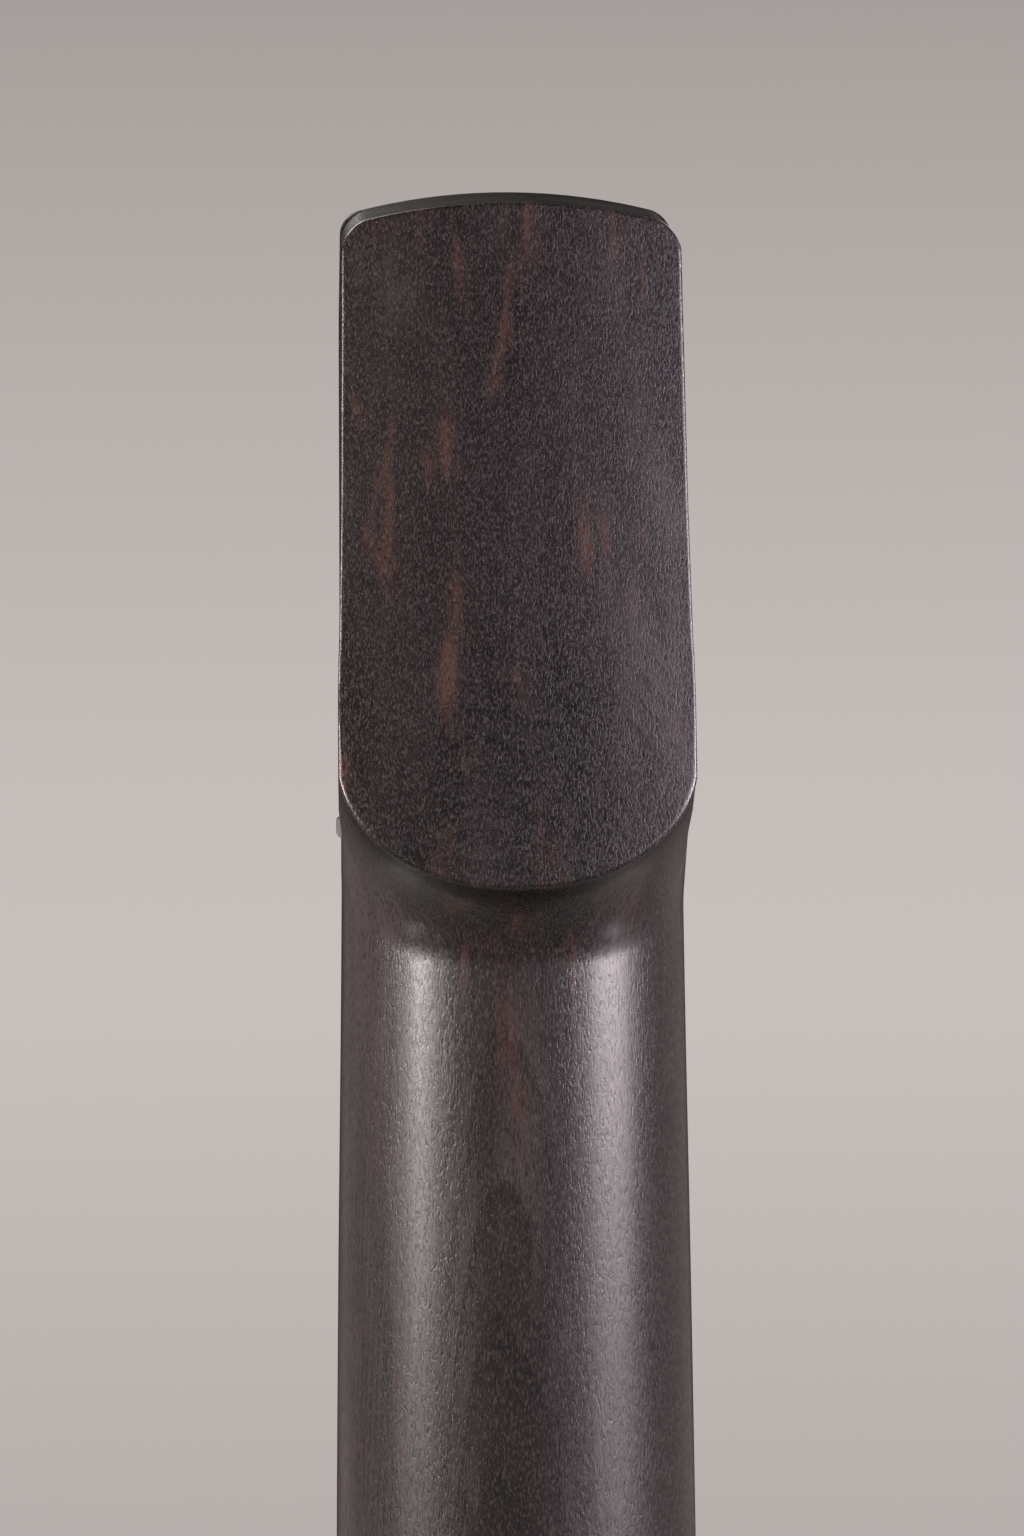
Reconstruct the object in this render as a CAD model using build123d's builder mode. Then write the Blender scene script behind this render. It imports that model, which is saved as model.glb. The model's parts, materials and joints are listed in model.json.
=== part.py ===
from build123d import *
import math
import os

os.makedirs("parts", exist_ok=True)

# ---------------------------------------------------------------------------
# Driving dimensions, millimetres.
# Z runs up the neck, +Y is the back of the instrument, -Y its playing side.
# The origin is the centre of the body's back, on the skin.
# ---------------------------------------------------------------------------
BODY_DEPTH = 92.0            # over both skins
BODY_CORNER = (85.0, 92.0)   # corner of the body outline, half width and half height
BODY_HALF_W = 91.0           # at the middle of the bowed sides
BODY_HALF_H = 98.0
BODY_INNER = 0.885           # inner outline as a share of the corner
SKIN_T = 0.8
SKIN_LIP = 7.0

NUT_Z = 723.0                # nut centre above the origin
PLAY_Y = -95.0               # playing surface of the neck
NECK_D_NUT = 22.0            # neck depth at the nut
HEAD_TOP_Z = 44.9            # top of the head's back face above the nut
CHIN_Z = -3.7                # lowest point of the chin
CHIN_Y = -69.0               # back face at the chin
HEAD_TOP_Y = -79.0           # back face at the head's top
END_SLOPE = 7.7              # degrees, head end slopes down to the back
HEAD_END_R = 45.0            # crown of the head's end
HEAD_CORNER_R = 1.9
CHIN_START_Z = 5.8           # where the straight sides end
PLATE_T = 2.5
CHIN_FILLET = 1.0
RIM_R = 0.3
PLATE_END_Z = 1.2

SLOT_W = 15.0                # string box
SLOT_Z0, SLOT_Z1 = 3.0, 43.6
SLOT_FLOOR_Y = -82.4

PEG_Z = (12.0, 25.0, 38.0)   # low, high, middle string, above the nut
PEG_Y = -87.5
PEG_R = 3.0
PEG_CLEAR = 0.05
PEG_HALF = 11.9
BUSH_R = 4.2
BUSH_L = 3.6
HEX_AF = 3.0
HEX_DEPTH = 4.0
WIND_R = 4.0

NUT_T = 1.53
NUT_TOP_Y = -96.8
NUT_FLOOR_Y = -88.0
NUT_PROUD = 0.36

JOINT_1_Z = 518.0            # upper and middle neck meet here
JOINT_2_Z = 318.0            # middle and lower neck meet here
TENON_W, TENON_D, TENON_L = 11.0, 10.0, 28.0
TENON_Y = -84.5
FIT = 0.08

TANG_W, TANG_Y0, TANG_Y1 = 18.0, -89.0, -73.0
TANG_END_W, TANG_END_Y0, TANG_END_Y1 = 15.0, -87.0, -75.0
TANG_END_Z = -111.0

BRIDGE_Z = -66.0
BRIDGE_TOP_Y = -102.0
STRING_R = {"low": 0.5, "middle": 0.4, "high": 0.3}
STRING_NUT_X = {"low": -6.8, "middle": 0.0, "high": 6.8}
STRING_PEG_X = {"low": -5.2, "middle": 0.0, "high": 5.2}
STRING_BRIDGE_X = {"low": -10.5, "middle": 0.0, "high": 10.5}
STRING_TAIL_X = {"low": -7.5, "middle": 0.0, "high": 7.5}
STRING_PEG = {"low": PEG_Z[0], "middle": PEG_Z[2], "high": PEG_Z[1]}
WIND_X = {"low": (-4.2, -1.2), "middle": (0.9, 3.9), "high": (1.2, 4.2)}

# neck stations: height, width, depth
NECK_TOP = [(NUT_Z + 8.0, 24.8, 22.0), (NUT_Z - 1.7, 24.8, 22.0), (NUT_Z - 14.0, 25.1, 22.05),
            (NUT_Z - 32.0, 25.7, 22.15), (NUT_Z - 52.0, 26.2, 22.25), (NUT_Z - 100.0, 26.9, 22.5),
            (NUT_Z - 150.0, 27.35, 22.8), (JOINT_1_Z, 27.7, 23.1)]
NECK_MID = [(JOINT_1_Z, 27.7, 23.1), (420.0, 28.4, 23.7), (JOINT_2_Z, 29.0, 24.3)]


def heel_depth(z):
    """Neck depth below the lower joint: even, then swelling smoothly into the heel."""
    t = min(max((228.0 - z) / (228.0 - 92.0), 0.0), 1.0)
    return 24.3 + (JOINT_2_Z - z) * 0.002 + 26.0 * t * t * (3 - 2 * t)


NECK_LOW = [(z, 29.0 + (JOINT_2_Z - z) * 0.0045, heel_depth(z))
            for z in [JOINT_2_Z - 23.2 * i for i in range(11)]]

CX, CZ = BODY_CORNER


def neck_section(z, w, d):
    """D-shaped neck section: flat playing side, straight sides, half-round back."""
    side_y = PLAY_Y + d - w / 2
    e = 0.6
    with BuildSketch(Plane.XY.offset(z)) as sk:
        with BuildLine():
            Line((-w / 2 + e, PLAY_Y), (w / 2 - e, PLAY_Y))
            Line((w / 2 - e, PLAY_Y), (w / 2, PLAY_Y + e))
            Line((w / 2, PLAY_Y + e), (w / 2, side_y))
            CenterArc((0, side_y), w / 2, 0, 180)
            Line((-w / 2, side_y), (-w / 2, PLAY_Y + e))
            Line((-w / 2, PLAY_Y + e), (-w / 2 + e, PLAY_Y))
        make_face()
    return sk.sketch


def body_outline():
    """Closed outline of the body seen from the front, four bowed sides."""
    with BuildLine() as ln:
        ThreePointArc((-CX, CZ), (0, BODY_HALF_H), (CX, CZ))
        ThreePointArc((CX, CZ), (BODY_HALF_W, 0), (CX, -CZ))
        ThreePointArc((CX, -CZ), (0, -BODY_HALF_H), (-CX, -CZ))
        ThreePointArc((-CX, -CZ), (-BODY_HALF_W, 0), (-CX, CZ))
    return ln.line


def head_outline(scale_v=1.0):
    """Head outline in the plane square to the sloped end: crown, corners, sides and chin."""
    beta = math.radians(END_SLOPE)
    gamma = math.atan2(CHIN_Y - HEAD_TOP_Y, HEAD_TOP_Z - CHIN_Z)
    k = math.cos(beta) + math.tan(beta + gamma) * math.sin(beta)
    v_top = (HEAD_TOP_Z - CHIN_Z) / k
    v_side = (CHIN_START_Z - CHIN_Z) / k
    half_top, half_side = 12.22, 12.9
    drop = HEAD_END_R - math.sqrt(HEAD_END_R ** 2 - half_top ** 2)
    n = 2.4
    pts = []
    steps = 16
    for i in range(steps + 1):
        a = math.pi * i / steps
        c, s = math.cos(a), math.sin(a)
        pts.append((math.copysign(abs(c) ** (2 / n), c) * half_side if abs(c) > 1e-9 else 0.0,
                    v_side - (abs(s) ** (2 / n)) * v_side))
    with BuildSketch() as sk:
        with BuildLine():
            ThreePointArc((-half_top, v_top - drop), (0, v_top), (half_top, v_top - drop))
            Line((half_top, v_top - drop), (half_side, v_side))
            Spline(*pts, tangents=[(0, -1), (0, 1)])
            Line((-half_side, v_side), (-half_top, v_top - drop))
        make_face()
        fillet(sk.vertices().group_by(Axis.Y)[-1], HEAD_CORNER_R)
    return sk.sketch


# ---------------------------------------------------------------------------
# Head and upper neck, one piece of wood
# ---------------------------------------------------------------------------
beta = math.radians(END_SLOPE)
head_plane = Plane(origin=(0, CHIN_Y, NUT_Z + CHIN_Z), x_dir=(1, 0, 0),
                   z_dir=(0, -math.cos(beta), math.sin(beta)))
grade = (CHIN_Y - HEAD_TOP_Y) / (HEAD_TOP_Z - CHIN_Z)


def back_y(zp):
    return CHIN_Y - (zp - CHIN_Z) * grade


HEAD_STATIONS = [(-8.0, 12.42, 12.8), (9.0, 12.42, 12.7), (23.0, 12.35, 12.43),
                 (37.0, 12.28, 12.26), (50.0, 12.22, 12.2)]

with BuildPart() as head_block:
    for zp, hf, hb in HEAD_STATIONS:
        with BuildSketch(Plane.XY.offset(NUT_Z + zp)):
            Polygon((-hf, PLAY_Y), (hf, PLAY_Y), (hb, back_y(zp)), (-hb, back_y(zp)), align=None)
    loft(ruled=False)
    with BuildSketch(head_plane):
        add(head_outline())
    extrude(amount=60, both=True, mode=Mode.INTERSECT)

with BuildPart() as head_and_upper_neck:
    for z, w, d in NECK_TOP:
        add(neck_section(z, w, d))
    loft(ruled=False)
    add(head_block.part)
    # chin blend: concave fillet between the chin's wall and the neck's back
    chin = head_and_upper_neck.edges().filter_by(
        lambda e: e.length > 30 and abs(e.center().Y - (PLAY_Y + NECK_D_NUT)) < 0.4
        and abs(e.center().Z - NUT_Z - CHIN_Z) < 2.0)
    fillet(chin, CHIN_FILLET)
    # eased rim of the back face
    back_face = head_and_upper_neck.faces().filter_by(
        lambda f: f.area > 800 and f.center().Z > NUT_Z + 10 and f.normal_at(f.center()).Y > 0.9)
    fillet(back_face.edges(), RIM_R)
    # seat of the face plate
    with BuildSketch(Plane.XZ.offset(-PLAY_Y - PLATE_T)):
        with Locations((0, NUT_Z + PLATE_END_Z)):
            Rectangle(40, 80, align=(Align.CENTER, Align.MIN))
    extrude(amount=20, mode=Mode.SUBTRACT)
    # string box, open to the front
    with BuildSketch(Plane.XZ.offset(-PLAY_Y + 5)):
        with Locations((0, NUT_Z + (SLOT_Z0 + SLOT_Z1) / 2)):
            RectangleRounded(SLOT_W, SLOT_Z1 - SLOT_Z0, 2.0)
    extrude(amount=-(-PLAY_Y + 5 + SLOT_FLOOR_Y), mode=Mode.SUBTRACT)
    # peg bores and bushing seats
    for pz in PEG_Z:
        with Locations(Plane(origin=(0, PEG_Y, NUT_Z + pz), z_dir=(1, 0, 0))):
            Cylinder(PEG_R + PEG_CLEAR, 40, mode=Mode.SUBTRACT)
        for side in (-1, 1):
            with Locations(Plane(origin=(side * (12.6 - BUSH_L / 2), PEG_Y, NUT_Z + pz), z_dir=(1, 0, 0))):
                Cylinder(BUSH_R, BUSH_L + 1.2, mode=Mode.SUBTRACT)
    # nut slot
    with Locations((0, (NUT_FLOOR_Y - 100) / 2, NUT_Z)):
        Box(40, NUT_FLOOR_Y + 100, NUT_T, mode=Mode.SUBTRACT)
    # tenon of the upper joint
    with Locations((0, TENON_Y, JOINT_1_Z - TENON_L / 2)):
        Box(TENON_W, TENON_D, TENON_L)

# ---------------------------------------------------------------------------
# Middle neck: mortise above, tenon below
# ---------------------------------------------------------------------------
with BuildPart() as neck_middle:
    for z, w, d in NECK_MID:
        add(neck_section(z, w, d))
    loft(ruled=False)
    with Locations((0, TENON_Y, JOINT_1_Z - TENON_L / 2)):
        Box(TENON_W + 2 * FIT, TENON_D + 2 * FIT, TENON_L + 1.0, mode=Mode.SUBTRACT)
    with Locations((0, TENON_Y, JOINT_2_Z - TENON_L / 2)):
        Box(TENON_W, TENON_D, TENON_L)

# ---------------------------------------------------------------------------
# Lower neck: mortise above, swelling heel, tang that runs through the body
# ---------------------------------------------------------------------------
with BuildPart() as neck_lower_with_tang:
    for z, w, d in NECK_LOW:
        add(neck_section(z, w, d))
    loft(ruled=False)
    with Locations((0, TENON_Y, JOINT_2_Z - TENON_L / 2)):
        Box(TENON_W + 2 * FIT, TENON_D + 2 * FIT, TENON_L + 1.0, mode=Mode.SUBTRACT)
    # heel ends on the bowed top of the body
    with BuildSketch(Plane.XZ.offset(-20)):
        with BuildLine():
            add(body_outline())
        make_face()
    extrude(amount=160, mode=Mode.SUBTRACT)
    # tang
    with Locations((0, (TANG_Y0 + TANG_Y1) / 2, 4.0)):
        Box(TANG_W, TANG_Y1 - TANG_Y0, 200.0)
    with BuildSketch(Plane.XY.offset(-80)):
        with Locations((0, (TANG_END_Y0 + TANG_END_Y1) / 2)):
            RectangleRounded(TANG_END_W, TANG_END_Y1 - TANG_END_Y0, 2.0)
    extrude(amount=-(-TANG_END_Z - 80))
    # waist of the tang's end, where the tail cord is looped
    with BuildSketch(Plane.XY.offset(-107.2)):
        with Locations((0, (TANG_END_Y0 + TANG_END_Y1) / 2)):
            Rectangle(30, 30)
            RectangleRounded(TANG_END_W - 2.4, TANG_END_Y1 - TANG_END_Y0 - 2.4, 2.0, mode=Mode.SUBTRACT)
    extrude(amount=5.0, mode=Mode.SUBTRACT)

# the tang is narrow where it passes the bottom panel
with BuildPart() as tang_trim:
    with Locations((0, (TANG_Y0 + TANG_Y1) / 2, -97.0)):
        Box(40, 40, 34)
    with BuildSketch(Plane.XY.offset(-79)):
        with Locations((0, (TANG_END_Y0 + TANG_END_Y1) / 2)):
            RectangleRounded(TANG_END_W, TANG_END_Y1 - TANG_END_Y0, 2.0)
    extrude(amount=-40, mode=Mode.SUBTRACT)
with BuildPart() as lower_finished:
    add(neck_lower_with_tang.part)
    add(tang_trim.part, mode=Mode.SUBTRACT)
neck_lower_with_tang = lower_finished

# ---------------------------------------------------------------------------
# Head face plate with the string box window
# ---------------------------------------------------------------------------
with BuildPart() as head_face_plate:
    with BuildSketch(Plane.XZ.offset(-PLAY_Y)):
        with BuildLine():
            Polyline((-12.48, NUT_Z + PLATE_END_Z), (12.48, NUT_Z + PLATE_END_Z), (12.3, NUT_Z + 60),
                     (-12.3, NUT_Z + 60), close=True)
        make_face()
    extrude(amount=-PLATE_T)
    with BuildSketch(head_plane):
        add(head_outline())
    extrude(amount=60, both=True, mode=Mode.INTERSECT)
    with BuildSketch(Plane.XZ.offset(-PLAY_Y + 5)):
        with Locations((0, NUT_Z + (SLOT_Z0 + SLOT_Z1) / 2)):
            RectangleRounded(SLOT_W - 1.0, SLOT_Z1 - SLOT_Z0 - 1.0, 1.6)
    extrude(amount=-15, mode=Mode.SUBTRACT)

# ---------------------------------------------------------------------------
# Nut bar with domed ends
# ---------------------------------------------------------------------------
with BuildPart() as nut_bar:
    with BuildSketch(Plane.XZ.offset(-NUT_TOP_Y)):
        with Locations((0, NUT_Z)):
            Rectangle(2 * (12.4 + NUT_PROUD), NUT_T)
    extrude(amount=-(-NUT_TOP_Y + NUT_FLOOR_Y))
    fillet(nut_bar.edges().filter_by(Axis.Y), 0.34)
    chamfer(nut_bar.faces().sort_by(Axis.Y)[0].edges(), 0.25)

# ---------------------------------------------------------------------------
# Body: four panels mitred at the corners
# ---------------------------------------------------------------------------
inner = (CX * BODY_INNER, CZ * BODY_INNER)
panels = {}
wedges = {
    "body_panel_top": [(0, 0), (CX * 1.3, CZ * 1.3), (-CX * 1.3, CZ * 1.3)],
    "body_panel_bottom": [(0, 0), (-CX * 1.3, -CZ * 1.3), (CX * 1.3, -CZ * 1.3)],
    "body_panel_left": [(0, 0), (-CX * 1.3, CZ * 1.3), (-CX * 1.3, -CZ * 1.3)],
    "body_panel_right": [(0, 0), (CX * 1.3, -CZ * 1.3), (CX * 1.3, CZ * 1.3)],
}
for panel_name, wedge in wedges.items():
    with BuildPart() as panel:
        with BuildSketch(Plane.XZ.offset(SKIN_T)):
            with BuildLine():
                add(body_outline())
            make_face()
            offset(amount=-SKIN_T, kind=Kind.INTERSECTION)
        extrude(amount=BODY_DEPTH - 2 * SKIN_T)
        with BuildSketch(Plane.XZ.offset(SKIN_T + SKIN_LIP)):
            with BuildLine():
                add(body_outline())
            make_face()
        extrude(amount=BODY_DEPTH - 2 * SKIN_T - 2 * SKIN_LIP)
        with BuildSketch(Plane.XZ):
            Rectangle(2 * inner[0], 2 * inner[1])
        extrude(amount=200, both=True, mode=Mode.SUBTRACT)
        with BuildSketch(Plane.XZ):
            Polygon(*wedge, align=None)
        extrude(amount=200, both=True, mode=Mode.INTERSECT)
        if panel_name == "body_panel_top":
            with Locations((0, (TANG_Y0 + TANG_Y1) / 2, 90)):
                Box(TANG_W + 2 * FIT, TANG_Y1 - TANG_Y0 + 2 * FIT, 40, mode=Mode.SUBTRACT)
        if panel_name == "body_panel_bottom":
            with BuildSketch(Plane.XY.offset(-70)):
                with Locations((0, (TANG_END_Y0 + TANG_END_Y1) / 2)):
                    RectangleRounded(TANG_END_W + 2 * FIT, TANG_END_Y1 - TANG_END_Y0 + 2 * FIT, 2.0 + FIT)
            extrude(amount=-50, mode=Mode.SUBTRACT)
    panels[panel_name] = panel

# ---------------------------------------------------------------------------
# Skins: flat membrane with a lip glued over the panels' edge
# ---------------------------------------------------------------------------
with BuildPart() as skin_back:
    with BuildSketch(Plane.XZ):
        with BuildLine():
            add(body_outline())
        make_face()
    extrude(amount=SKIN_T + SKIN_LIP)
    with BuildSketch(Plane.XZ.offset(SKIN_T)):
        with BuildLine():
            add(body_outline())
        make_face()
        offset(amount=-SKIN_T, kind=Kind.INTERSECTION)
    extrude(amount=SKIN_LIP + 5, mode=Mode.SUBTRACT)

with BuildPart() as skin_front:
    with BuildSketch(Plane.XZ.offset(BODY_DEPTH - SKIN_T - SKIN_LIP)):
        with BuildLine():
            add(body_outline())
        make_face()
    extrude(amount=SKIN_T + SKIN_LIP)
    with BuildSketch(Plane.XZ.offset(BODY_DEPTH - SKIN_T - SKIN_LIP - 5)):
        with BuildLine():
            add(body_outline())
        make_face()
        offset(amount=-SKIN_T, kind=Kind.INTERSECTION)
    extrude(amount=SKIN_LIP + 5, mode=Mode.SUBTRACT)
    # the tang crosses the lip at the top and at the bottom
    with Locations((0, -BODY_DEPTH + SKIN_T + 10, 98)):
        Box(TANG_W + 2 * FIT, 20, 13, mode=Mode.SUBTRACT)
    with Locations((0, -BODY_DEPTH + SKIN_T + 10, -98)):
        Box(TANG_END_W + 2 * FIT, 20, 13, mode=Mode.SUBTRACT)

# plectrum patch, a half round of thin hide under the strings
with BuildPart() as plectrum_patch:
    with BuildSketch(Plane.XZ.offset(BODY_DEPTH)):
        with Locations((0, 88.0)):
            Circle(34.0)
        with Locations((0, 88.0)):
            Rectangle(90, 80, align=(Align.CENTER, Align.MIN), mode=Mode.SUBTRACT)
    extrude(amount=0.4)

# ---------------------------------------------------------------------------
# Bridge
# ---------------------------------------------------------------------------
with BuildPart() as bridge:
    with BuildSketch(Plane(origin=(0, 0, BRIDGE_Z - 3.2), x_dir=(1, 0, 0), z_dir=(0, 0, 1))):
        with BuildLine():
            y0, y1 = -BODY_DEPTH, BRIDGE_TOP_Y
            Line((-36, y0), (-23, y0))
            ThreePointArc((-23, y0), (0, y0 - 4.4), (23, y0))
            Line((23, y0), (36, y0))
            Line((36, y0), (35.2, y0 - 2.6))
            ThreePointArc((35.2, y0 - 2.6), (25.0, y0 - 4.8), (16.5, y1))
            Line((16.5, y1), (-16.5, y1))
            ThreePointArc((-16.5, y1), (-25.0, y0 - 4.8), (-35.2, y0 - 2.6))
            Line((-35.2, y0 - 2.6), (-36, y0))
        make_face()
    extrude(amount=6.4)
    # the crest is thinner than the feet
    for s in (-1, 1):
        with BuildSketch(Plane.YZ.offset(-50)):
            with BuildLine():
                Polyline((-BODY_DEPTH - 1.0, BRIDGE_Z + s * 3.3), (BRIDGE_TOP_Y - 0.5, BRIDGE_Z + s * 1.25),
                         (BRIDGE_TOP_Y - 0.5, BRIDGE_Z + s * 6), (-BODY_DEPTH - 1.0, BRIDGE_Z + s * 6), close=True)
            make_face()
        extrude(amount=100, mode=Mode.SUBTRACT)

# ---------------------------------------------------------------------------
# Strings: from beside the windings, over the nut and the bridge, to the tail cord
# ---------------------------------------------------------------------------
strings = {}
for key in ("low", "middle", "high"):
    r = STRING_R[key]
    ring = PEG_R + r + 0.25
    nut_pt = (STRING_NUT_X[key], NUT_TOP_Y - r - 0.10, NUT_Z + 0.55)
    # tangent point on the front of the peg
    py, pz = PEG_Y, NUT_Z + STRING_PEG[key]
    dy, dz = nut_pt[1] - py, nut_pt[2] - pz
    dist = math.hypot(dy, dz)
    base = math.atan2(dz, dy)
    swing = math.acos(ring / dist)
    cand = [(py + ring * math.cos(base + s * swing), pz + ring * math.sin(base + s * swing)) for s in (-1, 1)]
    ty, tz = min(cand, key=lambda p: p[0])
    path_pts = [
        (STRING_PEG_X[key], ty, tz),
        nut_pt,
        (STRING_BRIDGE_X[key], BRIDGE_TOP_Y - r - 0.14, BRIDGE_Z - 1.2),
        (STRING_TAIL_X[key], -95.0, -80.2),
    ]
    with BuildPart() as string:
        with BuildLine() as path:
            FilletPolyline(*path_pts, radius=[2.0, 2.6])
        with BuildSketch(Plane(origin=path.wires()[0] @ 0, z_dir=path.wires()[0] % 0)):
            Circle(r)
        sweep(path=path.line)
    strings[key] = string
    print("string", key, "length", round(path.wires()[0].length, 1))

# ---------------------------------------------------------------------------
# Tail cord: three legs from the strings over the body's edge to a ring on the tang's end
# ---------------------------------------------------------------------------
TAIL_R = 1.3
with BuildPart() as tail_cord:
    for sx in (-1, 0, 1):
        with BuildLine() as leg:
            FilletPolyline((sx * 7.5, -94.0, -82.0), (sx * 6.0, -94.4, -101.6), (sx * 4.4, -88.0, -104.7),
                           radius=[3.0])
        with BuildSketch(Plane(origin=leg.wires()[0] @ 0, z_dir=leg.wires()[0] % 0)):
            Circle(TAIL_R)
        sweep(path=leg.line)
        with Locations(leg.wires()[0] @ 0):
            Sphere(1.9)
    with BuildSketch(Plane.XY.offset(-106.0)):
        with Locations((0, (TANG_END_Y0 + TANG_END_Y1) / 2)):
            RectangleRounded(TANG_END_W + 2.6, TANG_END_Y1 - TANG_END_Y0 + 2.6, 3.2)
            RectangleRounded(TANG_END_W - 2.4 + 0.1, TANG_END_Y1 - TANG_END_Y0 - 2.4 + 0.1, 2.0, mode=Mode.SUBTRACT)
    extrude(amount=2.6)

# ---------------------------------------------------------------------------
# Arm cover over the upper long side, turned over the front edge
# ---------------------------------------------------------------------------
with BuildPart() as arm_cover:
    with BuildSketch(Plane.XZ.offset(1.5)):
        with BuildLine():
            add(body_outline())
        make_face()
        offset(amount=2.6, kind=Kind.INTERSECTION)
    extrude(amount=BODY_DEPTH - 1.5 + 2.4)
    with BuildSketch(Plane.XZ.offset(1.0)):
        with BuildLine():
            add(body_outline())
        make_face()
        offset(amount=0.15, kind=Kind.INTERSECTION)
    extrude(amount=BODY_DEPTH - 1.0 + 0.15, mode=Mode.SUBTRACT)
    with Locations((-84.0, -50, 0)):
        Box(22.0, 140, 128.0, mode=Mode.INTERSECT)

# ---------------------------------------------------------------------------
# Peg bushings, flush with the sides of the head
# ---------------------------------------------------------------------------
with BuildPart() as bushing_blank:
    for pz in PEG_Z:
        for side in (-1, 1):
            with Locations(Plane(origin=(side * (12.0 - BUSH_L / 2), PEG_Y, NUT_Z + pz), z_dir=(1, 0, 0))):
                Cylinder(BUSH_R, BUSH_L)
                Cylinder(PEG_R + PEG_CLEAR, BUSH_L, mode=Mode.SUBTRACT)
peg_bushings = bushing_blank

# ---------------------------------------------------------------------------
# Pegs with a hex socket in both ends, and the string turns wound on them
# ---------------------------------------------------------------------------
pegs = {}
windings = {}
for key in ("low", "middle", "high"):
    pz = NUT_Z + STRING_PEG[key]
    with BuildPart() as peg:
        with Locations(Plane(origin=(0, PEG_Y, pz), z_dir=(1, 0, 0))):
            Cylinder(PEG_R, 2 * PEG_HALF)
        chamfer(peg.edges().filter_by(GeomType.CIRCLE), 0.3)
        for side in (-1, 1):
            with BuildSketch(Plane(origin=(side * PEG_HALF, PEG_Y, pz), z_dir=(side, 0, 0))):
                RegularPolygon(HEX_AF / 2, 6, major_radius=False)
            extrude(amount=-HEX_DEPTH, mode=Mode.SUBTRACT)
    pegs[key] = peg
    x0, x1 = WIND_X[key]
    turns = 3 if key == "low" else (4 if key == "middle" else 5)
    pitch = (x1 - x0) / turns
    with BuildPart() as winding:
        with BuildSketch(Plane(origin=(0, 0, pz), x_dir=(1, 0, 0), z_dir=(0, 0, 1))):
            with BuildLine():
                valley = PEG_Y - WIND_R + 0.42 * pitch
                knots = [(x0 + i * pitch, valley) for i in range(turns)] + [(x1, valley)]
                Polyline(knots[-1], (x1, PEG_Y - PEG_R), (x0, PEG_Y - PEG_R), knots[0])
                for i in range(turns):
                    ThreePointArc(knots[i], (x0 + (i + 0.5) * pitch, PEG_Y - WIND_R), knots[i + 1])
            make_face()
        revolve(axis=Axis((0, PEG_Y, pz), (1, 0, 0)))
    windings[key] = winding

# ---------------------------------------------------------------------------
# Export, one file for each named piece
# ---------------------------------------------------------------------------
head_and_upper_neck.part.label = "head_and_upper_neck"
export_step(head_and_upper_neck.part, "parts/head_and_upper_neck.step")
neck_middle.part.label = "neck_middle"
export_step(neck_middle.part, "parts/neck_middle.step")
neck_lower_with_tang.part.label = "neck_lower_with_tang"
export_step(neck_lower_with_tang.part, "parts/neck_lower_with_tang.step")
head_face_plate.part.label = "head_face_plate"
export_step(head_face_plate.part, "parts/head_face_plate.step")
nut_bar.part.label = "nut_bar"
export_step(nut_bar.part, "parts/nut_bar.step")
for panel_name, panel in panels.items():
    panel.part.label = panel_name
    export_step(panel.part, f"parts/{panel_name}.step")
skin_back.part.label = "skin_back"
export_step(skin_back.part, "parts/skin_back.step")
skin_front.part.label = "skin_front"
export_step(skin_front.part, "parts/skin_front.step")
plectrum_patch.part.label = "plectrum_patch"
export_step(plectrum_patch.part, "parts/plectrum_patch.step")
bridge.part.label = "bridge"
export_step(bridge.part, "parts/bridge.step")
tail_cord.part.label = "tail_cord"
export_step(tail_cord.part, "parts/tail_cord.step")
arm_cover.part.label = "arm_cover"
export_step(arm_cover.part, "parts/arm_cover.step")
peg_bushings.part.label = "peg_bushings"
export_step(peg_bushings.part, "parts/peg_bushings.step")
for key, string in strings.items():
    string.part.label = f"string_{key}"
    export_step(string.part, f"parts/string_{key}.step")
for key, peg in pegs.items():
    peg.part.label = f"tuning_peg_{key}"
    export_step(peg.part, f"parts/tuning_peg_{key}.step")
for key, winding in windings.items():
    winding.part.label = f"string_winding_{key}"
    export_step(winding.part, f"parts/string_winding_{key}.step")
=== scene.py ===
import bpy, bmesh, math, json
import numpy as np
from mathutils import Vector, Matrix, Euler

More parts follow.
